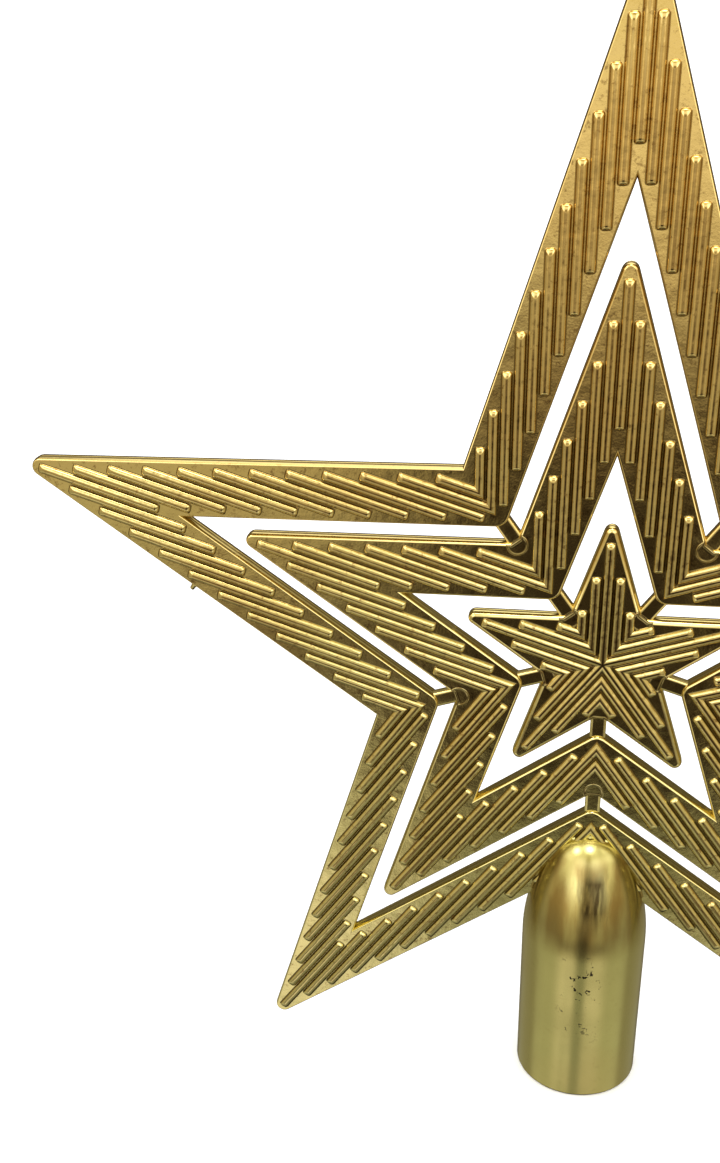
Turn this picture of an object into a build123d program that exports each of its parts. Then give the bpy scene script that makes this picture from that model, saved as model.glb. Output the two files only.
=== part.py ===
from build123d import *
import math
import os

# Star tree topper: three nested five-pointed stars in gold-plated moulded
# plastic, tied together by ten flat spokes, standing on a domed socket that
# slips over the leader shoot of a tree.
#
# Millimetres, +Z up, the stars lie in the XZ plane and face -Y.  The origin is
# the centre of the socket's open mouth.

# ---------------------------------------------------------------- dimensions
POINTS = 5
STAR_RADIUS = 109.0            # centre to the sharp corner of an outer point
STAR_CENTRE_HEIGHT = 89.6      # star centre above the socket's mouth
HALF_POINT_ANGLE = 18.0        # half the angle of a star point, degrees
VALLEY_ANGLE = 36.0            # from a point's axis to the valley beside it

# sharp-corner radii of the nested outlines and openings
OUTER_OPENING_RADIUS = 0.711 * STAR_RADIUS
MIDDLE_RADIUS = 0.627 * STAR_RADIUS
MIDDLE_OPENING_RADIUS = 0.329 * STAR_RADIUS
INNER_RADIUS = 0.249 * STAR_RADIUS

# valley-corner radius of a regular five-pointed star, as a share of its tip's
VALLEY_RATIO = math.sin(math.radians(HALF_POINT_ANGLE)) / math.cos(math.radians(VALLEY_ANGLE))

OUTER_TIP_ROUND = 1.7
MIDDLE_TIP_ROUND = 1.4
INNER_TIP_ROUND = 1.25
OPENING_CORNER_ROUND = 2.4     # opening's corners that face the centre

# each star is two half-shells that meet at the widest, middle plane
FLOOR_HEIGHT = 1.6             # middle plane to the flat face of one half
# how far a star's bevelled edge leans in over that height
OUTER_SETBACK = 0.4
MIDDLE_SETBACK = 0.55
INNER_SETBACK = 0.85

# decorative ribs, parallel to the axis of the point that they lie on
RIB_PITCH = 0.018 * STAR_RADIUS
RIB_WIDTH = 1.3                # at the foot
RIB_HEIGHT = 0.6
RIB_TAPER = 24.0               # lean of a rib's sides, degrees
RIB_OUTLINE_GAP = 1.4          # square gap from the outline to a rib's rounded end
RIB_OPENING_GAP = 1.0          # the same at the opening's edge
CENTRE_RIB_OPENING_GAP = 4.1   # from the opening's corner to the middle rib's end
OUTER_LAST_RIB = 11            # ribs on each side of a point's middle rib
MIDDLE_LAST_RIB = 6
INNER_LAST_RIB = 2

# spokes: flat tie bars with a round eye at each end
SPOKE_WIDTH = 2.8
SPOKE_THICKNESS = 2.0
EYE_RADIUS = 1.8
EYE_HOLE_RADIUS = 0.85
EYE_INSET = 3.4                # eye centre inside the edge that the spoke enters
PIN_RADIUS = 0.8
BOSS_RADIUS = 1.6              # round boss over each spoke's root
BOSS_INSET = 1.1               # boss centre inside the valley corner
BOSS_RISE = 0.3                # above the flat face

# locating pins near the tips, moulded on the rear halves
TIP_PIN_RADIUS = 0.9
TIP_PIN_LENGTH = 0.8
TIP_HOLE_RADIUS = 0.95
TIP_HOLE_DEPTH = 0.9
OUTER_TIP_PIN_AT = 88.0        # from the star's centre along a point's axis
MIDDLE_TIP_PIN_AT = 52.0
INNER_TIP_PIN_AT = 15.0

# socket
SOCKET_RADIUS = 0.107 * STAR_RADIUS
DOME_BASE_HEIGHT = 31.9        # where the straight wall ends, above the mouth
DOME_HEIGHT = 22.5
DOME_CROWN_RADIUS = 7.3        # the rounder top of the bullet-shaped dome
BORE_RADIUS = 10.4
BORE_DEPTH = 34.0
MOUTH_EDGE_ROUND = 0.5

FRONT = Plane(origin=(0, 0, STAR_CENTRE_HEIGHT), x_dir=(1, 0, 0), z_dir=(0, -1, 0))
REAR = Plane(origin=(0, 0, STAR_CENTRE_HEIGHT), x_dir=(-1, 0, 0), z_dir=(0, 1, 0))

FIRST_POINT_ANGLE = 90.0
POINT_STEP = 360.0 / POINTS
FIRST_VALLEY_ANGLE = FIRST_POINT_ANGLE - VALLEY_ANGLE
SPOKE_PLACES = ("upper_right", "upper_left", "left", "bottom", "right")


# ------------------------------------------------------------ shared sketches
def star_corners(radius):
    """Corners of a regular five-pointed star, one point straight up."""
    corners = []
    for index in range(2 * POINTS):
        angle = math.radians(FIRST_POINT_ANGLE + index * VALLEY_ANGLE)
        reach = radius if index % 2 == 0 else radius * VALLEY_RATIO
        corners.append((reach * math.cos(angle), reach * math.sin(angle)))
    return corners


def tip_vertices(sketch, radius):
    """The star's outer corners, which lie beyond its valleys."""
    halfway = radius * (1 + VALLEY_RATIO) / 2
    return [v for v in sketch.vertices() if Vector(v.X, v.Y).length > halfway]


def valley_vertices(sketch, radius):
    """The star's inner corners."""
    halfway = radius * (1 + VALLEY_RATIO) / 2
    return [v for v in sketch.vertices() if Vector(v.X, v.Y).length < halfway]


def along(angle, distance, aside=0.0):
    """A point at a distance along a direction, and a step to its left."""
    turn = math.radians(angle)
    return (
        distance * math.cos(turn) - aside * math.sin(turn),
        distance * math.sin(turn) + aside * math.cos(turn),
    )


# -------------------------------------------------------------- half features
def edge_taper(setback):
    """Lean of a bevelled edge in degrees."""
    return math.degrees(math.atan2(setback, FLOOR_HEIGHT))


def raise_blank(plane, radius, tip_round, setback):
    """One half's solid blank, its edge leaning in from the middle plane."""
    with BuildSketch(plane) as outline:
        Polygon(*star_corners(radius), align=None)
        fillet(tip_vertices(outline, radius), radius=tip_round)
    extrude(outline.sketch, amount=FLOOR_HEIGHT, taper=edge_taper(setback))


def cut_opening(plane, radius, setback):
    """The star-shaped opening, wider at the face than at the middle plane."""
    with BuildSketch(plane) as opening:
        Polygon(*star_corners(radius), align=None)
        fillet(valley_vertices(opening, radius), radius=OPENING_CORNER_ROUND)
    extrude(opening.sketch, amount=FLOOR_HEIGHT, taper=-edge_taper(setback), mode=Mode.SUBTRACT)


def rib_span(index, radius, opening_radius):
    """Where one rib's end centres lie along the point's axis."""
    aside = abs(index) * RIB_PITCH
    slope = math.tan(math.radians(HALF_POINT_ANGLE))
    lean = math.sin(math.radians(HALF_POINT_ANGLE))
    outer_end = radius - aside / slope - (RIB_OUTLINE_GAP + RIB_WIDTH / 2) / lean
    valley = aside / math.tan(math.radians(VALLEY_ANGLE))
    if opening_radius is None:
        return outer_end, valley
    if index == 0:
        return outer_end, opening_radius + CENTRE_RIB_OPENING_GAP
    inner_end = opening_radius - aside / slope + (RIB_OPENING_GAP + RIB_WIDTH / 2) / lean
    return outer_end, max(inner_end, valley)


def raise_ribs(plane, radius, opening_radius, last_rib):
    """The round-ended ribs of all five points, meeting in chevrons at the valleys."""
    with BuildSketch(plane.offset(FLOOR_HEIGHT)) as ribs:
        for index in range(-last_rib, last_rib + 1):
            outer_end, inner_end = rib_span(index, radius, opening_radius)
            middle = (outer_end + inner_end) / 2
            places = []
            for point in range(POINTS):
                angle = FIRST_POINT_ANGLE + point * POINT_STEP
                places.append(Location(along(angle, middle, index * RIB_PITCH) + (0,), angle))
            with Locations(*places):
                SlotCenterToCenter(outer_end - inner_end, RIB_WIDTH)
    extrude(ribs.sketch, amount=RIB_HEIGHT, taper=RIB_TAPER)


def spoke_outline(angle, start, end):
    """Bar with a round eye at both ends, lying along a valley's direction."""
    with Locations(along(angle, (start + end) / 2)):
        Rectangle(end - start, SPOKE_WIDTH, rotation=angle)
    with Locations(along(angle, start), along(angle, end)):
        Circle(EYE_RADIUS)


def spoke_directions():
    """Directions of the five valleys."""
    return [FIRST_VALLEY_ANGLE + place * POINT_STEP for place in range(POINTS)]


def cut_spoke_pockets(plane, start, end):
    """Pockets that take half the thickness of the five spokes."""
    with BuildSketch(plane) as pockets:
        for angle in spoke_directions():
            spoke_outline(angle, start, end)
    extrude(pockets.sketch, amount=SPOKE_THICKNESS / 2, mode=Mode.SUBTRACT)


def raise_spoke_bosses(plane, valley_radius):
    """Low round bosses that strengthen the valley corners over the spokes' roots."""
    with BuildSketch(plane.offset(SPOKE_THICKNESS / 2)) as bosses:
        with PolarLocations(valley_radius - BOSS_INSET, POINTS, start_angle=FIRST_VALLEY_ANGLE):
            Circle(BOSS_RADIUS)
    extrude(bosses.sketch, amount=FLOOR_HEIGHT + BOSS_RISE - SPOKE_THICKNESS / 2)


def raise_spoke_pins(plane, distance):
    """Pins that stand in the pockets and pass through the spokes' eyes."""
    pocket_floor = SPOKE_THICKNESS / 2
    with BuildSketch(plane.offset(pocket_floor)) as pins:
        with PolarLocations(distance, POINTS, start_angle=FIRST_VALLEY_ANGLE):
            Circle(PIN_RADIUS)
    extrude(pins.sketch, amount=-SPOKE_THICKNESS)


def raise_tip_pins(plane, distance):
    """Short locating pins on the middle plane, one in each point."""
    with BuildSketch(plane) as pins:
        with PolarLocations(distance, POINTS, start_angle=FIRST_POINT_ANGLE):
            Circle(TIP_PIN_RADIUS)
    extrude(pins.sketch, amount=-TIP_PIN_LENGTH)


def cut_tip_holes(plane, distance):
    """Blind holes for the short locating pins."""
    with BuildSketch(plane) as holes:
        with PolarLocations(distance, POINTS, start_angle=FIRST_POINT_ANGLE):
            Circle(TIP_HOLE_RADIUS)
    extrude(holes.sketch, amount=TIP_HOLE_DEPTH, mode=Mode.SUBTRACT)


# eye centres along the valley directions
OUTER_SPOKE_END = OUTER_OPENING_RADIUS * VALLEY_RATIO + EYE_INSET
OUTER_SPOKE_START = MIDDLE_RADIUS * VALLEY_RATIO - EYE_INSET
INNER_SPOKE_END = MIDDLE_OPENING_RADIUS * VALLEY_RATIO + EYE_INSET
INNER_SPOKE_START = INNER_RADIUS * VALLEY_RATIO - EYE_INSET


# ------------------------------------------------------------ socket envelope
def dome_tangent_point():
    """Where the dome's long side arc meets the crown's arc, both tangent."""
    crown_centre = DOME_HEIGHT - DOME_CROWN_RADIUS
    side_radius = (
        SOCKET_RADIUS**2 + DOME_HEIGHT**2 - 2 * DOME_HEIGHT * DOME_CROWN_RADIUS
    ) / (2 * (SOCKET_RADIUS - DOME_CROWN_RADIUS))
    lean = math.atan2(crown_centre, side_radius - SOCKET_RADIUS)
    return (
        DOME_CROWN_RADIUS * math.cos(lean),
        DOME_BASE_HEIGHT + crown_centre + DOME_CROWN_RADIUS * math.sin(lean),
    )


with BuildPart() as socket_envelope:
    with BuildSketch(Plane.YZ) as socket_profile:
        with BuildLine():
            Line((0, 0), (SOCKET_RADIUS, 0))
            Line((SOCKET_RADIUS, 0), (SOCKET_RADIUS, DOME_BASE_HEIGHT))
            side = TangentArc(
                (SOCKET_RADIUS, DOME_BASE_HEIGHT), dome_tangent_point(), tangent=(0, 1)
            )
            TangentArc(side @ 1, (0, DOME_BASE_HEIGHT + DOME_HEIGHT), tangent=side % 1)
            Line((0, DOME_BASE_HEIGHT + DOME_HEIGHT), (0, 0))
        make_face()
    revolve(axis=Axis.Z)

# the ribs stop where the dome's wall stands proud of the star's faces
with BuildPart() as rib_clearance:
    add(socket_envelope.part)
    with Locations((0, 0, DOME_BASE_HEIGHT)):
        Box(4 * SOCKET_RADIUS, 2 * FLOOR_HEIGHT, 4 * DOME_BASE_HEIGHT, mode=Mode.SUBTRACT)


# ----------------------------------------------------------------- outer star
def build_outer_blank(plane):
    raise_blank(plane, STAR_RADIUS, OUTER_TIP_ROUND, OUTER_SETBACK)
    cut_opening(plane, OUTER_OPENING_RADIUS, OUTER_SETBACK)
    raise_ribs(plane, STAR_RADIUS, OUTER_OPENING_RADIUS, OUTER_LAST_RIB)
    add(rib_clearance.part, mode=Mode.SUBTRACT)
    cut_spoke_pockets(plane, OUTER_SPOKE_START, OUTER_SPOKE_END)


with BuildPart() as outer_star_front:
    build_outer_blank(FRONT)
    cut_tip_holes(FRONT, OUTER_TIP_PIN_AT)

with BuildPart() as outer_star_rear:
    build_outer_blank(REAR)
    raise_spoke_pins(REAR, OUTER_SPOKE_END)
    raise_tip_pins(REAR, OUTER_TIP_PIN_AT)


# ---------------------------------------------------------------- middle star
def build_middle_blank(plane):
    raise_blank(plane, MIDDLE_RADIUS, MIDDLE_TIP_ROUND, MIDDLE_SETBACK)
    cut_opening(plane, MIDDLE_OPENING_RADIUS, MIDDLE_SETBACK)
    raise_ribs(plane, MIDDLE_RADIUS, MIDDLE_OPENING_RADIUS, MIDDLE_LAST_RIB)
    raise_spoke_bosses(plane, MIDDLE_RADIUS * VALLEY_RATIO)
    cut_spoke_pockets(plane, OUTER_SPOKE_START, OUTER_SPOKE_END)
    cut_spoke_pockets(plane, INNER_SPOKE_START, INNER_SPOKE_END)


with BuildPart() as middle_star_front:
    build_middle_blank(FRONT)
    cut_tip_holes(FRONT, MIDDLE_TIP_PIN_AT)

with BuildPart() as middle_star_rear:
    build_middle_blank(REAR)
    raise_spoke_pins(REAR, OUTER_SPOKE_START)
    raise_spoke_pins(REAR, INNER_SPOKE_END)
    raise_tip_pins(REAR, MIDDLE_TIP_PIN_AT)


# ----------------------------------------------------------------- inner star
def build_inner_blank(plane):
    raise_blank(plane, INNER_RADIUS, INNER_TIP_ROUND, INNER_SETBACK)
    raise_ribs(plane, INNER_RADIUS, None, INNER_LAST_RIB)
    raise_spoke_bosses(plane, INNER_RADIUS * VALLEY_RATIO)
    cut_spoke_pockets(plane, INNER_SPOKE_START, INNER_SPOKE_END)


with BuildPart() as inner_star_front:
    build_inner_blank(FRONT)
    cut_tip_holes(FRONT, INNER_TIP_PIN_AT)

with BuildPart() as inner_star_rear:
    build_inner_blank(REAR)
    raise_spoke_pins(REAR, INNER_SPOKE_START)
    raise_tip_pins(REAR, INNER_TIP_PIN_AT)


# --------------------------------------------------------------------- spokes
def build_spoke(angle, start, end):
    """One tie bar, half its thickness on each side of the middle plane."""
    with BuildSketch(FRONT.offset(-SPOKE_THICKNESS / 2)) as bar:
        spoke_outline(angle, start, end)
        with Locations(along(angle, start), along(angle, end)):
            Circle(EYE_HOLE_RADIUS, mode=Mode.SUBTRACT)
    extrude(bar.sketch, amount=SPOKE_THICKNESS)


spokes = {}
for place, direction in zip(SPOKE_PLACES, spoke_directions()):
    with BuildPart() as outer_spoke:
        build_spoke(direction, OUTER_SPOKE_START, OUTER_SPOKE_END)
    spokes["outer_spoke_" + place] = outer_spoke
    with BuildPart() as inner_spoke:
        build_spoke(direction, INNER_SPOKE_START, INNER_SPOKE_END)
    spokes["inner_spoke_" + place] = inner_spoke


# --------------------------------------------------------------------- socket
# both halves' plain blanks together, which the socket's slot is shaped to
with BuildPart() as star_blank:
    raise_blank(FRONT, STAR_RADIUS, OUTER_TIP_ROUND, OUTER_SETBACK)
    raise_blank(REAR, STAR_RADIUS, OUTER_TIP_ROUND, OUTER_SETBACK)

with BuildPart() as tree_socket:
    add(socket_envelope.part)
    fillet(tree_socket.edges().group_by(Axis.Z)[0], radius=MOUTH_EDGE_ROUND)
    with BuildSketch(Plane.XY):
        Circle(BORE_RADIUS)
    extrude(amount=BORE_DEPTH, mode=Mode.SUBTRACT)
    # the star's lower valley drops into a slot across the dome
    add(star_blank.part, mode=Mode.SUBTRACT)


# --------------------------------------------------------------------- export
pieces = {
    "outer_star_front": outer_star_front,
    "outer_star_rear": outer_star_rear,
    "middle_star_front": middle_star_front,
    "middle_star_rear": middle_star_rear,
    "inner_star_front": inner_star_front,
    "inner_star_rear": inner_star_rear,
    "tree_socket": tree_socket,
}
pieces.update(spokes)

os.makedirs("parts", exist_ok=True)
for name, piece in pieces.items():
    piece.part.label = name
    export_step(piece.part, "parts/" + name + ".step")
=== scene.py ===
import math

import bmesh
import bpy
from mathutils import Matrix, Vector


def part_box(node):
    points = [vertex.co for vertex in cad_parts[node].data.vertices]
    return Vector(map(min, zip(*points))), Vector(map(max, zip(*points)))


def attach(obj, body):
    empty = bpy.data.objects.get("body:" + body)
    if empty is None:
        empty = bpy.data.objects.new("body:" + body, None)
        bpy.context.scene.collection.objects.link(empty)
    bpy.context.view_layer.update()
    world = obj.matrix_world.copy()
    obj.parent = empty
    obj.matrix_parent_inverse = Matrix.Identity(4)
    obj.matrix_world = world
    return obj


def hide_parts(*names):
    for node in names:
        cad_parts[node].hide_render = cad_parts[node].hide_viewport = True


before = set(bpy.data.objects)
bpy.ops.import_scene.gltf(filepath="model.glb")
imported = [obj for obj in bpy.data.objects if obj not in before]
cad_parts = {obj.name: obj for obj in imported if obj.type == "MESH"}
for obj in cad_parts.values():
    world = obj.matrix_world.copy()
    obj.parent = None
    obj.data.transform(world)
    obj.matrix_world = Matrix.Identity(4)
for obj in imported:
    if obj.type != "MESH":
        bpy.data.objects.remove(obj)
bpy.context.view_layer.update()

# A gold-plated plastic star for the top of a tree.  The refined pieces here take
# their size and place from the boxes of the CAD nodes that they stand for.
# Metres; the stars lie in the XZ plane and face -Y.

# ---------------------------------------------------------------- dimensions
MM = 0.001
RIB_PITCH_SHARE = 0.018        # shares of the outer star's corner radius
OUTER_OPENING_SHARE = 0.703
MIDDLE_OPENING_SHARE = 0.329

POINTS = 5
POINT_STEP = 360.0 / POINTS
FIRST_POINT = 90.0
HALF_POINT = 18.0
TO_VALLEY = 36.0
SIN_HALF_POINT = math.sin(math.radians(HALF_POINT))
VALLEY_RATIO = SIN_HALF_POINT / math.cos(math.radians(TO_VALLEY))   # valley reach over tip reach
SIN_VALLEY_WEDGE = math.sin(math.radians(90 - TO_VALLEY))
LAST_POINT_DROP = SIN_VALLEY_WEDGE   # how far the lowest points' arcs lie below the centre

OPENING_ROUND = 2.4 * MM       # opening's corners that face the centre
FLOOR_HEIGHT = 1.6 * MM        # middle plane to a half's flat face
EDGE_FOOT = 0.25               # share of an edge's height that is straight, below its rounding
EDGE_STEPS = 10
PARTING_ROUND = 0.07 * MM      # where the halves meet

RIB_WIDTH = 1.5 * MM
RIB_HEIGHT = 0.68 * MM
RIB_FOOT_ROUND = 0.24 * MM
RIB_FOOT_STEPS = 4
RIB_CREST_STEPS = 7
RIB_CREST_TURN = 84.0          # a rib's crest stops short of 90 degrees, so that it isn't a line
RIB_END_STEPS = 10
RIB_END_LEAN = 0.6 * MM        # how far a round end is drawn in at its crest
INNER_END_LEAN = 0.3           # share of that at the inner ends, which are steeper
END_SHOULDER = 0.6             # under 1 makes a round end blunter
END_LENGTH = 0.8               # a round end's length over half its width
RIB_OUTLINE_GAP = 1.1 * MM
RIB_OPENING_GAP = 1.05 * MM
CENTRE_RIB_OPENING_GAP = 5.2 * MM

BOSS_INSET = 0.35 * MM
BOSS_RADIUS = 1.9 * MM
BOSS_EDGE_GAP = 0.3 * MM
BOSS_AROUND = 48
# how far each ring of a boss is drawn in, and its height above the flat face
BOSS_RINGS = [(0.0, -0.4 * MM), (0.0, -0.1 * MM), (0.03 * MM, 0.03 * MM), (0.1 * MM, 0.11 * MM),
              (0.22 * MM, 0.14 * MM), (0.36 * MM, 0.11 * MM), (0.5 * MM, 0.07 * MM),
              (0.6 * MM, 0.06 * MM)]

STUB_RADIUS = 0.5 * MM
STUB_DEPTH = 0.8 * MM          # in front of the middle plane
STUB_PLACE = 0.49              # along the edge, from the point's sharp corner to the valley
STUB_AROUND = 16
# reach out of the edge, and share of the radius
STUB_RINGS = ((-0.5 * MM, 1.2), (0.1 * MM, 1.1), (0.35 * MM, 0.9), (0.85 * MM, 0.85), (1.0 * MM, 0.6))

DOME_BASE = 31.9 * MM
DOME_RISE_ABOVE_SLOT = 0.1775 * MM   # the full dome's top above its CAD node, which the slot cuts
CROWN_RADIUS = 7.3 * MM
CURVE_STEPS = 16
WALL_ROWS = 12
BORE_RADIUS = 10.4 * MM
BORE_DEPTH = 34.0 * MM
MOUTH_ROUND = 0.5 * MM
MOUTH_STEPS = 5
SOCKET_STEPS = 96
FILLET = 0.7 * MM
FILLET_STEPS = 6
FILLET_TOP_STEPS = 12
FILLET_ROOT = 0.4 * MM         # how far the fillet's hidden back reaches into the dome

SPOKE_WIDTH = 2.8 * MM
SPOKE_THICKNESS = 2.0 * MM
SPOKE_AROUND = 32
SPOKE_SQUARENESS = (0.3, 0.35)  # exponents of the section, across and through; 0 is a rectangle
SPOKE_PLACES = ("upper_right", "upper_left", "left", "bottom", "right")
EYE_RADIUS = 1.8 * MM


# ------------------------------------------------------------ mesh collecting
SHARP_ANGLE = math.radians(42)


class Shell:
    """A piece's points and faces, gathered before they become one mesh."""

    def __init__(self):
        self.points = []
        self.faces = []
        self.finishes = []

    def loop(self, points):
        start = len(self.points)
        self.points.extend(points)
        return list(range(start, start + len(points)))

    def face(self, indices, finish=0):
        self.faces.append(indices)
        self.finishes.append(finish)

    def bridge(self, first, second, finish=0):
        """Quads between two closed loops of equal length."""
        count = len(first)
        for i in range(count):
            j = (i + 1) % count
            self.face([first[i], first[j], second[j], second[i]], finish)

    def piece(self, name, materials):
        """The mesh object, with its faces turned outward and its sharp corners kept."""
        mesh = bpy.data.meshes.new(name)
        mesh.from_pydata(self.points, [], self.faces)
        mesh.polygons.foreach_set("material_index", self.finishes)
        work = bmesh.new()
        work.from_mesh(mesh)
        bmesh.ops.dissolve_degenerate(work, edges=work.edges, dist=1e-7)
        bmesh.ops.recalc_face_normals(work, faces=work.faces)
        for face in work.faces:
            face.smooth = True
        for edge in work.edges:
            edge.smooth = edge.calc_face_angle(0.0) < SHARP_ANGLE
        work.to_mesh(mesh)
        work.free()
        piece = bpy.data.objects.new(name, mesh)
        bpy.context.scene.collection.objects.link(piece)
        for material in materials:
            mesh.materials.append(material)
        weighted = piece.modifiers.new("weighted", "WEIGHTED_NORMAL")
        weighted.mode = "FACE_AREA_WITH_ANGLE"
        weighted.weight = 80
        weighted.keep_sharp = True
        return piece


def direction(angle):
    return math.cos(math.radians(angle)), math.sin(math.radians(angle))


def arc(centre_angle, centre_reach, radius, start, end, steps):
    """Points of an arc whose centre lies along a direction from the star's centre."""
    cx, cz = direction(centre_angle)
    points = []
    for step in range(steps + 1):
        dx, dz = direction(start + (end - start) * step / steps)
        points.append((cx * centre_reach + dx * radius, cz * centre_reach + dz * radius))
    return points


# --------------------------------------------------------------- star outlines
ARC_STEPS = 8                 # along a point's rounding or an opening's corner


def outline_sides(radius, tip_round, setback):
    """Outline drawn in by a setback: each point's arc, then the valley after it."""
    tips, valleys = [], []
    reach = (radius - setback / SIN_HALF_POINT) * VALLEY_RATIO
    for index in range(POINTS):
        axis = FIRST_POINT + index * POINT_STEP
        tips.append(arc(axis, radius - tip_round / SIN_HALF_POINT, tip_round - setback,
                        axis - 90 + HALF_POINT, axis + 90 - HALF_POINT, ARC_STEPS))
        vx, vz = direction(axis + TO_VALLEY)
        valleys.append([(vx * reach, vz * reach)])
    return tips, valleys


def opening_sides(radius, setback):
    """Opening widened by a setback: each sharp tip, then the rounded corner after it."""
    tips, valleys = [], []
    reach = radius + setback / SIN_HALF_POINT
    corner = radius * VALLEY_RATIO + OPENING_ROUND / SIN_VALLEY_WEDGE
    for index in range(POINTS):
        axis = FIRST_POINT + index * POINT_STEP
        tx, tz = direction(axis)
        tips.append([(tx * reach, tz * reach)])
        valley = axis + TO_VALLEY
        valleys.append(arc(valley, corner, OPENING_ROUND - setback,
                           valley + 180 + TO_VALLEY, valley + 180 - TO_VALLEY, ARC_STEPS))
    return tips, valleys


def edge_profile(setback):
    """Setback and height of the rounded edge, from the parting line to the flat face."""
    foot = EDGE_FOOT * FLOOR_HEIGHT
    profile = [(PARTING_ROUND, 0.0), (PARTING_ROUND * 0.6, PARTING_ROUND), (0.0, 2 * PARTING_ROUND)]
    for step in range(EDGE_STEPS + 1):
        across, rise = direction(90 * step / EDGE_STEPS)
        profile.append((setback * (1 - across), foot + (FLOOR_HEIGHT - foot) * rise))
    return profile


FLOOR, RIB, WALL = 0, 1, 2    # a star's materials: its flat faces, its ribs and its edges


class Star:
    """One star's size and place, taken from its CAD node's box."""

    def __init__(self, name, tip_round, setback, last_rib, opening=0.0, boss=False):
        self.name = name
        self.tip_round = tip_round
        self.setback = setback
        low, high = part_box(name + "_star_front")
        arc_reach = (high.z - low.z - 2 * tip_round) / (1 + LAST_POINT_DROP)
        self.radius = arc_reach + tip_round / SIN_HALF_POINT
        self.centre = high.z - tip_round - arc_reach
        self.opening = opening
        self.last_rib = last_rib
        self.boss = boss

    def place(self, side, point, height):
        """A point of the star's plane, raised from the middle plane to one side."""
        return (point[0], side * height, self.centre + point[1])


def add_plate(shell, star, side):
    """The flat-faced body of one half, with its rounded edges."""
    def loops(sides):
        tips, valleys = sides
        return [p for tip, valley in zip(tips, valleys) for p in tip + valley]

    outline, opening = [], []
    for setback, height in edge_profile(star.setback):
        points = loops(outline_sides(star.radius, star.tip_round, setback))
        outline.append(shell.loop([star.place(side, p, height) for p in points]))
        if star.opening:
            points = loops(opening_sides(star.opening, setback))
            opening.append(shell.loop([star.place(side, p, height) for p in points]))
    for rings in (outline, opening):
        for lower, upper in zip(rings, rings[1:]):
            shell.bridge(lower, upper, WALL)
    for level in (0, -1):
        outer = outline[level]
        stride = ARC_STEPS + 2
        if not star.opening:
            shell.face(outer, FLOOR)
            continue
        inner = opening[level]
        for index in range(POINTS):
            first = index * stride
            after = (first + stride) % len(outer)
            tip = outer[first:first + ARC_STEPS + 1]
            valley = outer[first + ARC_STEPS + 1]
            inner_tip = inner[first]
            inner_valley = inner[first + 1:first + stride]
            shell.face(tip + [inner_tip], FLOOR)
            shell.face([tip[-1], valley, inner_valley[0], inner_tip], FLOOR)
            shell.face([valley] + inner_valley[::-1], FLOOR)
            shell.face([valley, outer[after], inner[after], inner_valley[-1]], FLOOR)


# ------------------------------------------------------------------------ ribs
def rib_profile():
    """Half-width, height and end lean of a rib's section, from its foot to its crest.

    The foot curves out of the flat face, and the crest is a quarter of an oval."""
    half = RIB_WIDTH / 2
    foot = half + RIB_FOOT_ROUND
    rings = [(foot, -0.2 * RIB_HEIGHT, 0.0)]
    for step in range(RIB_FOOT_STEPS + 1):
        across, rise = direction(270 - 80 * step / RIB_FOOT_STEPS)
        rings.append((foot + RIB_FOOT_ROUND * across,
                      RIB_FOOT_ROUND * (1 + rise) - 0.02 * RIB_FOOT_ROUND, 0.0))
    for step in range(1, RIB_CREST_STEPS + 1):
        share = step / RIB_CREST_STEPS
        across, rise = direction(RIB_CREST_TURN * share)
        rings.append((half * across, RIB_FOOT_ROUND + (RIB_HEIGHT - RIB_FOOT_ROUND) * rise,
                      -RIB_END_LEAN * share ** 1.5))
    return rings


def rounded_end(half, start):
    """Half an oval with full shoulders, as steps along and across a rib."""
    steps = []
    for step in range(RIB_END_STEPS + 1):
        dx, dz = direction(start + 180 * step / RIB_END_STEPS)
        steps.append((math.copysign(abs(dx) ** END_SHOULDER, dx) * half * END_LENGTH,
                      math.copysign(abs(dz) ** END_SHOULDER, dz) * half))
    return steps


def add_rib(shell, star, side, axis, aside, inner_end, outer_end, mitred):
    """One rib along a point's axis, its outer end round, its inner end round or mitred."""
    ax, az = direction(axis)

    def spot(along, across):
        return (along * ax - across * az, along * az + across * ax)

    previous = None
    for half, height, lean in rib_profile():
        outline = []
        for du, dv in rounded_end(half, -90):
            outline.append(spot(outer_end + lean + du, aside + dv))
        if mitred:
            cut = math.tan(math.radians(TO_VALLEY))
            outline.append(spot(abs(aside + half) / cut, aside + half))
            if aside == 0:
                outline.append(spot(0.0, 0.0))
            outline.append(spot(abs(aside - half) / cut, aside - half))
        else:
            for du, dv in rounded_end(half, 90):
                outline.append(spot(inner_end - lean * INNER_END_LEAN + du, aside + dv))
        ring = shell.loop([star.place(side, p, FLOOR_HEIGHT + height) for p in outline])
        if previous is None:
            shell.face(ring, RIB)
        else:
            shell.bridge(previous, ring, RIB)
        previous = ring
    shell.face(previous, RIB)


def add_ribs(shell, star, side):
    slope = math.tan(math.radians(HALF_POINT))
    for index in range(-star.last_rib, star.last_rib + 1):
        step_aside = abs(index) * RIB_PITCH
        outer_end = (star.radius - step_aside / slope
                     - (RIB_OUTLINE_GAP + RIB_WIDTH / 2) / SIN_HALF_POINT)
        valley = step_aside / math.tan(math.radians(TO_VALLEY))
        inner_end = valley
        if star.opening and index == 0:
            inner_end = star.opening + CENTRE_RIB_OPENING_GAP
        elif star.opening:
            inner_end = max(valley, star.opening - step_aside / slope
                            + (RIB_OPENING_GAP + RIB_WIDTH / 2) / SIN_HALF_POINT)
        for point in range(POINTS):
            add_rib(shell, star, side, FIRST_POINT + point * POINT_STEP, index * RIB_PITCH,
                    inner_end, outer_end, inner_end == valley)


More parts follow.
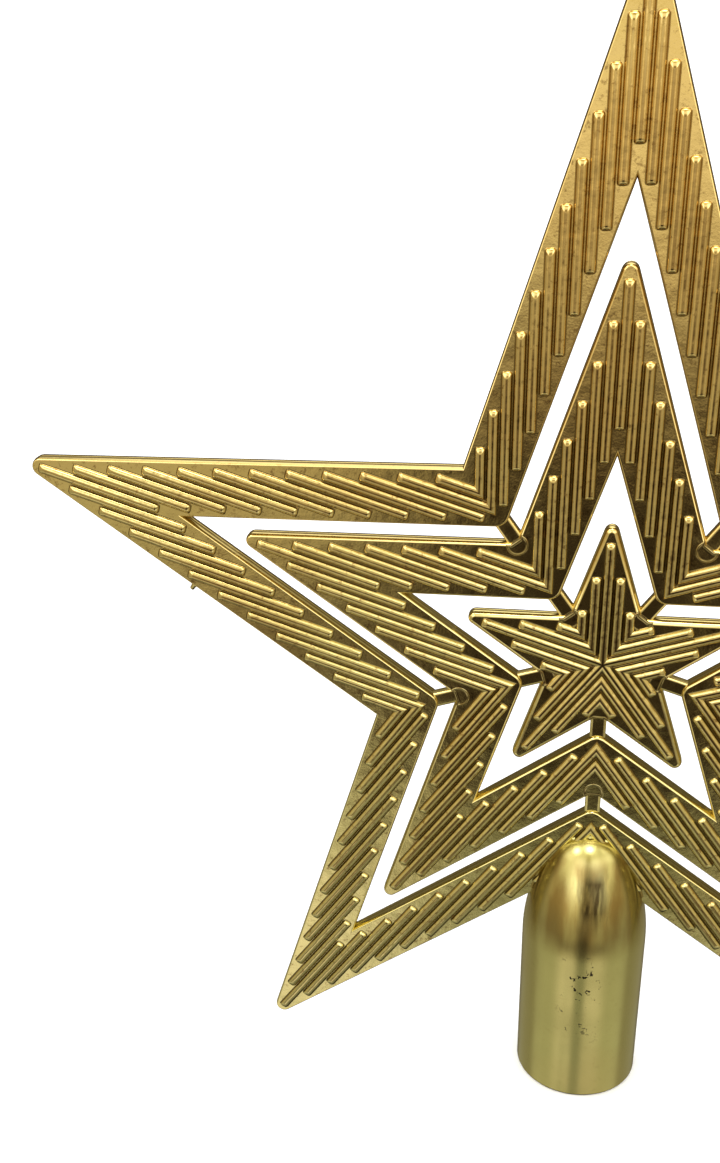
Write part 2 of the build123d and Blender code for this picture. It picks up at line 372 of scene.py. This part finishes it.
def add_bosses(shell, star, side):
    """Low flat-topped pads over the spokes' roots, cut off at the star's outline."""
    reach = star.radius * VALLEY_RATIO - BOSS_INSET
    limit = star.radius * SIN_HALF_POINT - BOSS_EDGE_GAP
    for index in range(POINTS):
        valley = FIRST_POINT + TO_VALLEY + index * POINT_STEP
        bx, bz = direction(valley)
        edges = [direction(valley - TO_VALLEY), direction(valley + TO_VALLEY)]
        previous = None
        for drawn_in, height in BOSS_RINGS:
            ring = []
            for turn in range(BOSS_AROUND):
                dx, dz = direction(360 * turn / BOSS_AROUND)
                x = bx * reach + dx * (BOSS_RADIUS - drawn_in)
                z = bz * reach + dz * (BOSS_RADIUS - drawn_in)
                beyond, edge = min((x * ex + z * ez - limit + drawn_in, (ex, ez)) for ex, ez in edges)
                if beyond > 0:
                    x, z = x - beyond * edge[0], z - beyond * edge[1]
                ring.append(star.place(side, (x, z), FLOOR_HEIGHT + height))
            ring = shell.loop(ring)
            if previous is None:
                shell.face(ring, RIB)
            else:
                shell.bridge(previous, ring, RIB)
            previous = ring
        shell.face(previous, FLOOR)


def add_gate_stub(shell, star):
    """What is left of the moulding gate, on the left arm's lower edge."""
    tip = direction(FIRST_POINT + POINT_STEP)
    valley = direction(FIRST_POINT + POINT_STEP + TO_VALLEY)
    to_tip = star.radius * (1 - STUB_PLACE)
    to_valley = star.radius * VALLEY_RATIO * STUB_PLACE
    x = tip[0] * to_tip + valley[0] * to_valley
    z = tip[1] * to_tip + valley[1] * to_valley
    ax, az = direction(FIRST_POINT + 2 * POINT_STEP)
    previous = None
    for reach, size in STUB_RINGS:
        ring = []
        for turn in range(STUB_AROUND):
            dx, dy = direction(360 * turn / STUB_AROUND)
            aside = STUB_RADIUS * size * dx
            ring.append((x + reach * ax - aside * az, STUB_RADIUS * size * dy - STUB_DEPTH,
                         star.centre + z + reach * az + aside * ax))
        ring = shell.loop(ring)
        if previous is None:
            shell.face(ring, WALL)
        else:
            shell.bridge(previous, ring, WALL)
        previous = ring
    shell.face(previous, WALL)


# ------------------------------------------------------------------- materials
def node(tree, kind, inputs=None, **settings):
    made = tree.nodes.new(kind)
    for key, value in settings.items():
        setattr(made, key, value)
    for key, value in (inputs or {}).items():
        if isinstance(value, bpy.types.NodeSocket):
            tree.links.new(value, made.inputs[key])
        else:
            made.inputs[key].default_value = value
    return made


def mix_colours(tree, factor, first, second):
    made = node(tree, "ShaderNodeMix", data_type="RGBA")
    tree.links.new(factor, made.inputs[0])
    colours = [socket for socket in made.inputs if socket.type == "RGBA"]
    for socket, value in zip(colours, (first, second)):
        if isinstance(value, bpy.types.NodeSocket):
            tree.links.new(value, socket)
        else:
            socket.default_value = value
    return made.outputs[2]


def window(tree, value, start, full, empty, end):
    """1 between full and empty, falling to 0 at start and end."""
    rising = node(tree, "ShaderNodeMapRange",
                  {"Value": value, "From Min": start, "From Max": full}).outputs[0]
    falling = node(tree, "ShaderNodeMapRange",
                   {"Value": value, "From Min": end, "From Max": empty}).outputs[0]
    return node(tree, "ShaderNodeMath", {0: rising, 1: falling}, operation="MULTIPLY").outputs[0]


def multiplied(tree, *factors):
    """The product of several values."""
    result = factors[0]
    for factor in factors[1:]:
        result = node(tree, "ShaderNodeMath", {0: result, 1: factor}, operation="MULTIPLY").outputs[0]
    return result


def stretched_noise(tree, where, stretch, scale, detail):
    """Noise drawn out along the axes whose stretch is small."""
    place = node(tree, "ShaderNodeVectorMath", {0: where, 1: stretch}, operation="MULTIPLY").outputs[0]
    return node(tree, "ShaderNodeTexNoise",
                {"Vector": place, "Scale": scale, "Detail": detail}).outputs["Fac"]


def add_socket_marks_and_painted_reflection(tree, where, colour):
    """Brown streaks on the dome, a streaky painted dark reflection on its front, and the pits below
    it.
    """
    apart = node(tree, "ShaderNodeSeparateXYZ", {0: where})
    front = node(tree, "ShaderNodeMath", {0: apart.outputs["Y"], 1: -1 * MM},
                 operation="LESS_THAN").outputs[0]

    bands = stretched_noise(tree, where, (1.0, 0.6, 0.12), 330.0, 3.0)
    bands = node(tree, "ShaderNodeMapRange",
                 {"Value": bands, "From Min": 0.42, "From Max": 0.62, "To Min": 0.25,
                  "To Max": 0.8}).outputs[0]
    domed = window(tree, apart.outputs["Z"], 33 * MM, 38 * MM, 50 * MM, 53 * MM)
    colour = mix_colours(tree, multiplied(tree, bands, domed), colour, DOME_STREAK)

    # Painted reflection: a dark, streaky patch on the front of the dome, where the gold mirrors a dark
    # thing in front of it.
    streaks = stretched_noise(tree, where, (1.0, 0.3, 0.12), 900.0, 4.0)
    ragged = node(tree, "ShaderNodeMath", {0: streaks, 1: 4.0 * MM, 2: apart.outputs["X"]},
                  operation="MULTIPLY_ADD").outputs[0]
    across = window(tree, ragged, 0.2 * MM, 2.2 * MM, 4.4 * MM, 6.2 * MM)
    along = window(tree, apart.outputs["Z"], 38 * MM, 43 * MM, 48 * MM, 52 * MM)
    density = node(tree, "ShaderNodeMapRange",
                   {"Value": streaks, "From Min": 0.3, "From Max": 0.5, "To Min": 0.75,
                    "To Max": 0.98}).outputs[0]
    colour = mix_colours(tree, multiplied(tree, across, along, front, density), colour, PAINTED_DARK_REFLECTION)

    chips = node(tree, "ShaderNodeTexNoise",
                 {"Vector": where, "Scale": 650.0, "Detail": 3.0, "Roughness": 0.65}).outputs["Fac"]
    chips = node(tree, "ShaderNodeMapRange",
                 {"Value": chips, "From Min": 0.62, "From Max": 0.65}).outputs[0]
    across = window(tree, apart.outputs["X"], -4.5 * MM, -2.0 * MM, 2.0 * MM, 4.5 * MM)
    along = window(tree, apart.outputs["Z"], 12 * MM, 20 * MM, 32 * MM, 35 * MM)
    return mix_colours(tree, multiplied(tree, chips, across, along, front), colour, PIT)


def paint_groove_shade_and_crest_wear(tree, where, height, drift, colour):
    """Paint shade into the ribs' feet, less of it high on the star, and rub their crests brown."""
    depth = node(tree, "ShaderNodeMath",
                 {0: node(tree, "ShaderNodeSeparateXYZ", {0: where}).outputs["Y"]},
                 operation="ABSOLUTE").outputs[0]
    # Painted shade: the ribs' feet, down into the grooves between them, are darkened. The shade is
    # deep on the lower arms and light high on the star.
    raised = node(tree, "ShaderNodeMapRange",
                  {"Value": depth, "From Min": FLOOR_HEIGHT,
                   "From Max": FLOOR_HEIGHT + 0.4 * RIB_HEIGHT}).outputs[0]
    high_up = node(tree, "ShaderNodeMapRange",
                   {"Value": height, "From Min": 0.125, "From Max": 0.165}).outputs[0]
    colour = mix_colours(tree, raised, mix_colours(tree, high_up, LOW_GROOVE_PAINTED_SHADE, HIGH_GROOVE_PAINTED_SHADE), colour)
    crest = node(tree, "ShaderNodeMapRange",
                 {"Value": depth, "From Min": FLOOR_HEIGHT + 0.93 * RIB_HEIGHT,
                  "From Max": FLOOR_HEIGHT + 0.985 * RIB_HEIGHT}).outputs[0]
    rubbed = node(tree, "ShaderNodeMapRange",
                  {"Value": drift, "From Min": 0.42, "From Max": 0.6,
                   "To Min": 0.3, "To Max": 0.8}).outputs[0]
    return mix_colours(tree, multiplied(tree, crest, rubbed), colour, TARNISH)


def gold(name, low_tint, roughness, grain, grain_scale, wave, wave_scale, wear,
         groove=False, marks_and_painted_reflection=False):
    """Gold plating on moulded plastic: its tint drifts at random, and with height it goes from the low
    tint to bronze as a painted reflection; it is grained and wavy.

    Grain and wave are the heights of the two bumps, and wear is how brown its spots are."""
    material = bpy.data.materials.new(name)
    material.use_nodes = True
    tree = material.node_tree
    tree.nodes.clear()
    out = node(tree, "ShaderNodeOutputMaterial")
    shader = node(tree, "ShaderNodeBsdfPrincipled")
    shader.inputs["Metallic"].default_value = 1.0
    tree.links.new(shader.outputs[0], out.inputs["Surface"])
    where = node(tree, "ShaderNodeTexCoord").outputs["Object"]
    height = node(tree, "ShaderNodeSeparateXYZ", {0: where}).outputs["Z"]

    drift = node(tree, "ShaderNodeTexNoise",
                 {"Vector": where, "Scale": 28.0, "Detail": 3.0}).outputs["Fac"]
    # Painted reflection: the tint turns from the low tint to bronze with height. This stands in for
    # the browner room that the high arms mirror and the paler floor that the low parts mirror.
    rise = node(tree, "ShaderNodeMapRange",
                {"Value": height, "From Min": 0.05, "From Max": 0.16}).outputs[0]
    blotch = node(tree, "ShaderNodeMath", {0: drift, 1: 0.5}, operation="SUBTRACT").outputs[0]
    drift_and_painted_reflection = node(tree, "ShaderNodeMath", {0: blotch, 1: 1.3, 2: rise},
                 operation="MULTIPLY_ADD", use_clamp=True).outputs[0]
    colour = mix_colours(tree, drift_and_painted_reflection, low_tint, BRONZE)
    if groove:
        colour = paint_groove_shade_and_crest_wear(tree, where, height, drift, colour)
    if marks_and_painted_reflection:
        colour = add_socket_marks_and_painted_reflection(tree, where, colour)
    spots = node(tree, "ShaderNodeTexNoise",
                 {"Vector": where, "Scale": 900.0, "Detail": 5.0, "Roughness": 0.7}).outputs["Fac"]
    worn = node(tree, "ShaderNodeMapRange",
                {"Value": spots, "From Min": 0.56, "From Max": 0.67, "To Max": wear}).outputs[0]
    colour = mix_colours(tree, worn, colour, TARNISH)
    tree.links.new(colour, shader.inputs["Base Color"])

    fine = node(tree, "ShaderNodeTexNoise",
                {"Vector": where, "Scale": grain_scale, "Detail": 4.0,
                 "Roughness": 0.6}).outputs["Fac"]
    broad = node(tree, "ShaderNodeTexNoise",
                 {"Vector": where, "Scale": wave_scale, "Detail": 2.0}).outputs["Fac"]
    rough = node(tree, "ShaderNodeMapRange",
                 {"Value": broad, "From Min": 0.3, "From Max": 0.7,
                  "To Min": roughness * 0.8, "To Max": roughness * 1.3}).outputs[0]
    tree.links.new(rough, shader.inputs["Roughness"])
    waves = node(tree, "ShaderNodeBump", {"Height": broad, "Strength": 1.0, "Distance": wave})
    grains = node(tree, "ShaderNodeBump",
                  {"Height": fine, "Strength": 1.0, "Distance": grain,
                   "Normal": waves.outputs["Normal"]})
    tree.links.new(grains.outputs["Normal"], shader.inputs["Normal"])
    return material


# Low tints and bronze: the gold mixes from a low tint up to bronze with height, which is a painted
# reflection.
OLIVE = (0.66, 0.57, 0.25, 1)
BRONZE = (0.68, 0.48, 0.18, 1)
OLD_OLIVE = (0.50, 0.44, 0.17, 1)
TARNISH = (0.22, 0.12, 0.035, 1)
# Painted shade colours for the grooves at the ribs' feet, low and high on the star.
LOW_GROOVE_PAINTED_SHADE = (0.05, 0.03, 0.008, 1)
HIGH_GROOVE_PAINTED_SHADE = (0.34, 0.22, 0.07, 1)
DOME_STREAK = (0.30, 0.20, 0.06, 1)
# Colour of the painted dark reflection on the front of the socket's dome.
PAINTED_DARK_REFLECTION = (0.04, 0.027, 0.01, 1)
PIT = (0.02, 0.015, 0.01, 1)
rib_gold = gold("rib_gold", OLIVE, roughness=0.08, grain=0.008 * MM, grain_scale=2200,
                wave=0.12 * MM, wave_scale=260, wear=0.75, groove=True)
floor_gold = gold("floor_gold", OLIVE, roughness=0.1, grain=0.012 * MM, grain_scale=2600,
                  wave=0.07 * MM, wave_scale=240, wear=0.7)
wall_gold = gold("wall_gold", OLIVE, roughness=0.08, grain=0.006 * MM, grain_scale=1600,
                 wave=0.06 * MM, wave_scale=200, wear=0.3)
socket_gold = gold("socket_gold", OLD_OLIVE, roughness=0.2, grain=0.004 * MM, grain_scale=1800,
                   wave=0.05 * MM, wave_scale=110, wear=0.1, marks_and_painted_reflection=True)
spoke_gold = gold("spoke_gold", OLIVE, roughness=0.1, grain=0.01 * MM, grain_scale=1600,
                  wave=0.06 * MM, wave_scale=200, wear=0.3)


# ----------------------------------------------------------------------- stars
outer = Star("outer", 1.7 * MM, 0.4 * MM, last_rib=11)
STAR_RADIUS = outer.radius
RIB_PITCH = RIB_PITCH_SHARE * STAR_RADIUS
outer.opening = OUTER_OPENING_SHARE * STAR_RADIUS
middle = Star("middle", 1.4 * MM, 0.55 * MM, last_rib=6, opening=MIDDLE_OPENING_SHARE * STAR_RADIUS,
              boss=True)
inner = Star("inner", 1.25 * MM, 0.85 * MM, last_rib=2, boss=True)
SIDES = {"front": -1, "rear": 1}

for star in (outer, middle, inner):
    for half, side in SIDES.items():
        shell = Shell()
        add_plate(shell, star, side)
        add_ribs(shell, star, side)
        if star.boss:
            add_bosses(shell, star, side)
        if star is outer and half == "front":
            add_gate_stub(shell, star)
        cad_name = star.name + "_star_" + half
        made = shell.piece(cad_name + "_skin", [floor_gold, rib_gold, wall_gold])
        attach(made, "root")
        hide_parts(cad_name)


# ---------------------------------------------------------------------- socket
def socket_profile(radius, dome):
    """Reach and height of the socket's section, from the bore's end to the dome's top."""
    side_radius = ((radius ** 2 + dome ** 2 - 2 * dome * CROWN_RADIUS)
                   / (2 * (radius - CROWN_RADIUS)))
    lean = math.degrees(math.atan2(dome - CROWN_RADIUS, side_radius - radius))
    profile = [(0.0, BORE_DEPTH), (BORE_RADIUS * 0.6, BORE_DEPTH), (BORE_RADIUS * 0.97, BORE_DEPTH),
               (BORE_RADIUS, BORE_DEPTH - 0.4 * MM), (BORE_RADIUS, 0.25 * MM),
               (BORE_RADIUS + 0.1 * MM, 0.05 * MM), (BORE_RADIUS + 0.25 * MM, 0.0)]
    for step in range(MOUTH_STEPS + 1):
        across, rise = direction(-90 + 90 * step / MOUTH_STEPS)
        profile.append((radius - MOUTH_ROUND + MOUTH_ROUND * across, MOUTH_ROUND * (1 + rise)))
    for step in range(1, WALL_ROWS + 1):
        profile.append((radius, MOUTH_ROUND + (DOME_BASE - MOUTH_ROUND) * step / WALL_ROWS))
    for step in range(1, CURVE_STEPS + 1):
        across, rise = direction(lean * step / CURVE_STEPS)
        profile.append((radius - side_radius * (1 - across), DOME_BASE + side_radius * rise))
    for step in range(1, CURVE_STEPS + 1):
        across, rise = direction(lean + (90 - lean) * step / CURVE_STEPS)
        profile.append((CROWN_RADIUS * across, DOME_BASE + dome - CROWN_RADIUS * (1 - rise)))
    return profile


def fillet_path(slope, crown_centre):
    """The line round the dome that the fillet starts from, one side and then the other."""
    level_out = FLOOR_HEIGHT + FILLET
    foot = outer.centre - outer.radius * VALLEY_RATIO
    path = []
    for reach, height in slope:
        x = math.sqrt(reach ** 2 - level_out ** 2)
        if height > foot - x / math.tan(math.radians(90 - TO_VALLEY)) + 0.2 * MM:
            path.append((x, height))
    ring = math.sqrt(CROWN_RADIUS ** 2 - level_out ** 2)
    start = math.degrees(math.atan2(path[-1][1] - crown_centre, path[-1][0]))
    for step in range(1, FILLET_TOP_STEPS + 1):
        across, rise = direction(start + (90 - start) * step / FILLET_TOP_STEPS)
        path.append((ring * across, crown_centre + ring * rise))
    return path + [(-x, height) for x, height in path[-2::-1]]


def add_dome_fillet(shell, side, path):
    """The web moulded along the join of the dome and a face of the outer star."""
    level_out = FLOOR_HEIGHT + FILLET
    buried = FLOOR_HEIGHT - 0.3 * MM
    rows = []
    for index, (x, z) in enumerate(path):
        before, after = path[max(index - 1, 0)], path[min(index + 1, len(path) - 1)]
        away = Vector((after[1] - before[1], before[0] - after[0])).normalized()
        section = [(-FILLET_ROOT, level_out + 0.05 * MM)]
        for step in range(FILLET_STEPS + 1):
            across, rise = direction(180 + 90 * step / FILLET_STEPS)
            section.append((FILLET * (1 + across), level_out + FILLET * rise - 0.02 * MM))
        section += [(FILLET, buried), (-FILLET_ROOT, buried)]
        rows.append(shell.loop([(x + out * away.x, side * depth, z + out * away.y)
                                for out, depth in section]))
    shell.face(rows[0])
    for lower, upper in zip(rows, rows[1:]):
        shell.bridge(lower, upper)
    shell.face(rows[-1])


def build_socket():
    low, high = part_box("tree_socket")
    top = high.z + DOME_RISE_ABOVE_SLOT
    profile = socket_profile((high.x - low.x) / 2, top - DOME_BASE)
    shell = Shell()
    previous = None
    for reach, height in profile:
        ring = []
        for turn in range(SOCKET_STEPS):
            dx, dy = direction(360 * turn / SOCKET_STEPS)
            ring.append((reach * dx, reach * dy, height))
        ring = shell.loop(ring)
        if previous is not None:
            shell.bridge(previous, ring)
        previous = ring
    slope = [(reach, height) for reach, height in profile
             if height > DOME_BASE and reach > CROWN_RADIUS]
    for side in SIDES.values():
        add_dome_fillet(shell, side, fillet_path(slope, top - CROWN_RADIUS))
    return shell.piece("tree_socket_skin", [socket_gold])


socket = build_socket()
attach(socket, "root")
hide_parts("tree_socket")

# ---------------------------------------------------------------------- spokes
# place along a spoke, from its middle, and size of the section there
SPOKE_END = ((-1.0, 0.35), (-0.985, 0.7), (-0.94, 0.93), (-0.85, 1.0))
SPOKE_STATIONS = (list(SPOKE_END) + [(-0.7 + 0.1 * step, 1.0) for step in range(15)]
                  + [(-place, size) for place, size in reversed(SPOKE_END)])


def squared(value, exponent):
    return math.copysign(abs(value) ** exponent, value)


def build_spoke(name, angle):
    """A softly crowned bar along a valley's direction, as long as its CAD node."""
    low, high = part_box(name)
    ax, az = direction(angle)
    middle_x, middle_z = (low.x + high.x) / 2, (low.z + high.z) / 2 - outer.centre
    centre = middle_x * ax + middle_z * az
    spans = [(high.x - low.x, abs(ax)), (high.z - low.z, abs(az))]
    span, share = max(spans, key=lambda pair: pair[1])
    half_length = (span / 2 - EYE_RADIUS) / share + EYE_RADIUS
    section = []
    for turn in range(SPOKE_AROUND):
        dx, dy = direction(360 * turn / SPOKE_AROUND)
        section.append((squared(dx, SPOKE_SQUARENESS[0]) * SPOKE_WIDTH / 2,
                        squared(dy, SPOKE_SQUARENESS[1]) * SPOKE_THICKNESS / 2))
    shell = Shell()
    previous = None
    for place, size in SPOKE_STATIONS:
        reach = centre + place * half_length
        ring = shell.loop([(reach * ax - aside * size * az, depth * size,
                            outer.centre + reach * az + aside * size * ax)
                           for aside, depth in section])
        if previous is None:
            shell.face(ring)
        else:
            shell.bridge(previous, ring)
        previous = ring
    shell.face(previous)
    return shell.piece(name + "_skin", [spoke_gold])


for index, place in enumerate(SPOKE_PLACES):
    for ring_name in ("outer", "inner"):
        cad_name = ring_name + "_spoke_" + place
        spoke = build_spoke(cad_name, FIRST_POINT - TO_VALLEY + index * POINT_STEP)
        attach(spoke, "root")
        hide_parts(cad_name)


# ----------------------------------------------------------------------- stage
FLOOR_HALF_WIDTH = 30.0
PALE_PAPER = (0.97, 0.97, 0.97, 1)


def add_floor():
    """Plain pale floor.  The gold mirrors the studio's world instead of it."""
    mesh = bpy.data.meshes.new("floor")
    half = FLOOR_HALF_WIDTH
    mesh.from_pydata([(-half, -half, 0), (half, -half, 0), (half, half, 0), (-half, half, 0)], [],
                     [(0, 1, 2, 3)])
    floor = bpy.data.objects.new("floor", mesh)
    bpy.context.scene.collection.objects.link(floor)
    paper = bpy.data.materials.new("paper")
    paper.use_nodes = True
    shader = paper.node_tree.nodes["Principled BSDF"]
    shader.inputs["Base Color"].default_value = PALE_PAPER
    shader.inputs["Roughness"].default_value = 1.0
    shader.inputs["Specular IOR Level"].default_value = 0.0
    mesh.materials.append(paper)
    floor.visible_glossy = False


add_floor()

# Directions of the ceiling lamps that the gold mirrors, with how bright each is, and the
# cosines at which a lamp's glow starts and is full.
LAMPS = (((-0.54, -0.18, 0.82), 7.0), ((0.03, -0.21, 0.98), 9.0), ((0.61, 0.04, 0.79), 1.2))
GLOW_START, GLOW_FULL = 0.983, 0.993

# The mirrored room's colours: (height from 0 straight down to 1 straight up, red, green, blue).
# In front of the star: straight ahead, to the sides, and far to the sides.
FRONT_CENTRE = (
    (0.00, 0.06, 0.06, 0.05), (0.07, 0.32, 0.32, 0.25), (0.14, 0.44, 0.46, 0.38),
    (0.19, 0.50, 0.52, 0.42), (0.225, 0.28, 0.27, 0.18), (0.255, 0.04, 0.03, 0.02),
    (0.33, 0.04, 0.03, 0.02), (0.38, 0.34, 0.29, 0.20), (0.43, 0.90, 0.85, 0.66),
    (0.48, 1.27, 1.24, 1.05), (0.53, 1.10, 1.05, 0.70), (0.57, 0.60, 0.52, 0.32),
    (0.63, 0.60, 0.52, 0.32), (0.68, 1.50, 1.50, 1.30), (0.78, 1.60, 1.60, 1.40),
    (0.88, 0.90, 0.82, 0.42))
FRONT_SIDE = (
    (0.00, 0.05, 0.05, 0.04), (0.08, 0.38, 0.38, 0.30), (0.15, 0.66, 0.67, 0.54),
    (0.19, 1.30, 1.22, 1.15), (0.23, 0.75, 0.72, 0.56), (0.28, 0.16, 0.12, 0.08),
    (0.34, 0.62, 0.57, 0.40), (0.42, 0.72, 0.65, 0.46), (0.48, 1.15, 1.04, 0.72),
    (0.54, 1.70, 1.66, 1.45), (0.59, 2.80, 2.85, 2.90), (0.80, 2.80, 2.85, 2.90),
    (0.90, 1.60, 1.55, 1.20))
FRONT_FAR = (
    (0.00, 0.03, 0.03, 0.02), (0.08, 0.30, 0.30, 0.23), (0.15, 0.75, 0.76, 0.60),
    (0.22, 0.58, 0.58, 0.44), (0.32, 0.45, 0.43, 0.33), (0.42, 0.55, 0.49, 0.33),
    (0.49, 0.72, 0.59, 0.36), (0.58, 0.66, 0.55, 0.33), (0.66, 1.80, 1.75, 1.40),
    (0.76, 2.20, 2.15, 1.90), (0.90, 1.40, 1.35, 1.00))
# Behind the star: straight behind, and to the sides.
BACK_CENTRE = (
    (0.00, 0.05, 0.04, 0.03), (0.15, 0.22, 0.20, 0.14), (0.30, 0.30, 0.27, 0.17),
    (0.45, 0.12, 0.10, 0.06), (0.60, 0.10, 0.08, 0.05), (0.75, 0.50, 0.45, 0.30),
    (0.81, 1.80, 1.80, 1.60), (0.94, 2.00, 2.00, 1.80))
BACK_FAR = (
    (0.00, 0.04, 0.04, 0.03), (0.15, 0.42, 0.40, 0.28), (0.30, 0.34, 0.31, 0.20),
    (0.50, 0.20, 0.17, 0.10), (0.70, 0.14, 0.12, 0.08), (0.86, 0.25, 0.22, 0.14),
    (0.93, 1.60, 1.55, 1.20))
WOBBLE = 0.08                  # how unevenly the room's heights run
WHITE_STRENGTH = 1.6           # of the plain white background, which the gold doesn't mirror


def ramp(tree, value, stops):
    """Colour by a value from 0 to 1: stops are (position, red, green, blue)."""
    made = node(tree, "ShaderNodeValToRGB", {"Fac": value})
    made.color_ramp.interpolation = "EASE"
    elements = made.color_ramp.elements
    while len(elements) > 1:
        elements.remove(elements[-1])
    for index, (position, red, green, blue) in enumerate(stops):
        element = elements[0] if index == 0 else elements.new(position)
        element.position = position
        element.color = (red, green, blue, 1)
    return made.outputs["Color"]


def smooth_step(tree, value, start, full):
    return node(tree, "ShaderNodeMapRange", {"Value": value, "From Min": start, "From Max": full},
                interpolation_type="SMOOTHSTEP").outputs[0]


def mirrored_room(tree):
    """The colour of the room in each direction, with its lamps."""
    where = node(tree, "ShaderNodeTexCoord").outputs["Generated"]
    apart = node(tree, "ShaderNodeSeparateXYZ", {0: where})
    blur = node(tree, "ShaderNodeTexNoise", {"Vector": where, "Scale": 2.2, "Detail": 2.0})
    wobble = node(tree, "ShaderNodeMath", {0: blur.outputs["Fac"], 1: 0.5},
                  operation="SUBTRACT").outputs[0]
    up = node(tree, "ShaderNodeMath", {0: apart.outputs["Z"], 1: 0.5, 2: 0.5},
              operation="MULTIPLY_ADD").outputs[0]
    up = node(tree, "ShaderNodeMath", {0: wobble, 1: WOBBLE, 2: up},
              operation="MULTIPLY_ADD").outputs[0]
    level = node(tree, "ShaderNodeVectorMath", {0: where, 1: (1, 1, 0)},
                 operation="MULTIPLY").outputs[0]
    level = node(tree, "ShaderNodeVectorMath", {0: level}, operation="NORMALIZE").outputs[0]
    sideways = node(tree, "ShaderNodeMath",
                    {0: node(tree, "ShaderNodeSeparateXYZ", {0: level}).outputs["X"]},
                    operation="ABSOLUTE").outputs[0]

    front = mix_colours(tree, smooth_step(tree, sideways, 0.08, 0.26),
                        ramp(tree, up, FRONT_CENTRE), ramp(tree, up, FRONT_SIDE))
    front = mix_colours(tree, smooth_step(tree, sideways, 0.5, 0.85),
                        front, ramp(tree, up, FRONT_FAR))
    back = mix_colours(tree, smooth_step(tree, sideways, 0.45, 0.6),
                       ramp(tree, up, BACK_CENTRE), ramp(tree, up, BACK_FAR))
    room = mix_colours(tree, smooth_step(tree, apart.outputs["Y"], -0.08, 0.12), front, back)
    for lamp, strength in LAMPS:
        toward = node(tree, "ShaderNodeVectorMath", {0: where, 1: Vector(lamp).normalized()},
                      operation="DOT_PRODUCT").outputs["Value"]
        glow = node(tree, "ShaderNodeMapRange",
                    {"Value": toward, "From Min": GLOW_START, "From Max": GLOW_FULL,
                     "To Max": strength}).outputs[0]
        room = node(tree, "ShaderNodeVectorMath", {0: room, 1: glow}, operation="ADD").outputs[0]
    return room


def studio_world():
    """White to the eye; in the gold, a room that changes with height and direction."""
    world = bpy.data.worlds.new("studio")
    bpy.context.scene.world = world
    world.use_nodes = True
    tree = world.node_tree
    tree.nodes.clear()
    out = node(tree, "ShaderNodeOutputWorld")
    mirrored = node(tree, "ShaderNodeBackground", {"Color": mirrored_room(tree), "Strength": 1.0})
    white = node(tree, "ShaderNodeBackground", {"Color": (1, 1, 1, 1), "Strength": WHITE_STRENGTH})
    path = node(tree, "ShaderNodeLightPath")
    mix = node(tree, "ShaderNodeMixShader", {0: path.outputs["Is Glossy Ray"]})
    tree.links.new(white.outputs[0], mix.inputs[1])
    tree.links.new(mirrored.outputs[0], mix.inputs[2])
    tree.links.new(mix.outputs[0], out.inputs["Surface"])


studio_world()


def area_light(name, place, target, size, power):
    data = bpy.data.lights.new(name, "AREA")
    data.shape = "RECTANGLE"
    data.size, data.size_y = size
    data.energy = power
    lamp = bpy.data.objects.new(name, data)
    bpy.context.scene.collection.objects.link(lamp)
    lamp.location = place
    lamp.rotation_euler = (Vector(target) - Vector(place)).to_track_quat("-Z", "Y").to_euler()
    return lamp


area_light("overhead", place=(0.0, -0.05, 0.9), target=(0, 0, 0.1), size=(0.5, 0.25), power=0.5)


# ---------------------------------------------------------------------- camera
IMAGE_WIDTH, IMAGE_HEIGHT = 720, 1163
SENSOR_HEIGHT = 36.0
LENS = 39.7114                 # millimetres, like the sensor
SHIFT = (0.03792, 0.12743)     # shares of the image's height
CAMERA_VIEW = (-0.2083, 0.8547, -0.4754)
CAMERA_UP = (-0.0667, 0.4726, 0.8788)
CAMERA_PLACE = (-0.0128, -1.8806, 0.8848)   # from the star's centre, in outer star radii


def add_camera():
    data = bpy.data.cameras.new("camera")
    camera = bpy.data.objects.new("camera", data)
    bpy.context.scene.collection.objects.link(camera)
    data.sensor_fit = "VERTICAL"
    data.sensor_height = SENSOR_HEIGHT
    data.sensor_width = SENSOR_HEIGHT * IMAGE_WIDTH / IMAGE_HEIGHT
    data.lens = LENS
    data.shift_x, data.shift_y = SHIFT
    data.clip_start = 0.01
    place = Vector(CAMERA_PLACE) * STAR_RADIUS + Vector((0, 0, outer.centre))
    back = -Vector(CAMERA_VIEW).normalized()
    right = Vector(CAMERA_UP).cross(back).normalized()
    up = back.cross(right)
    camera.matrix_world = Matrix((
        (right.x, up.x, back.x, place.x),
        (right.y, up.y, back.y, place.y),
        (right.z, up.z, back.z, place.z),
        (0, 0, 0, 1)))
    bpy.context.scene.camera = camera


add_camera()
bpy.context.scene.view_settings.view_transform = "Standard"
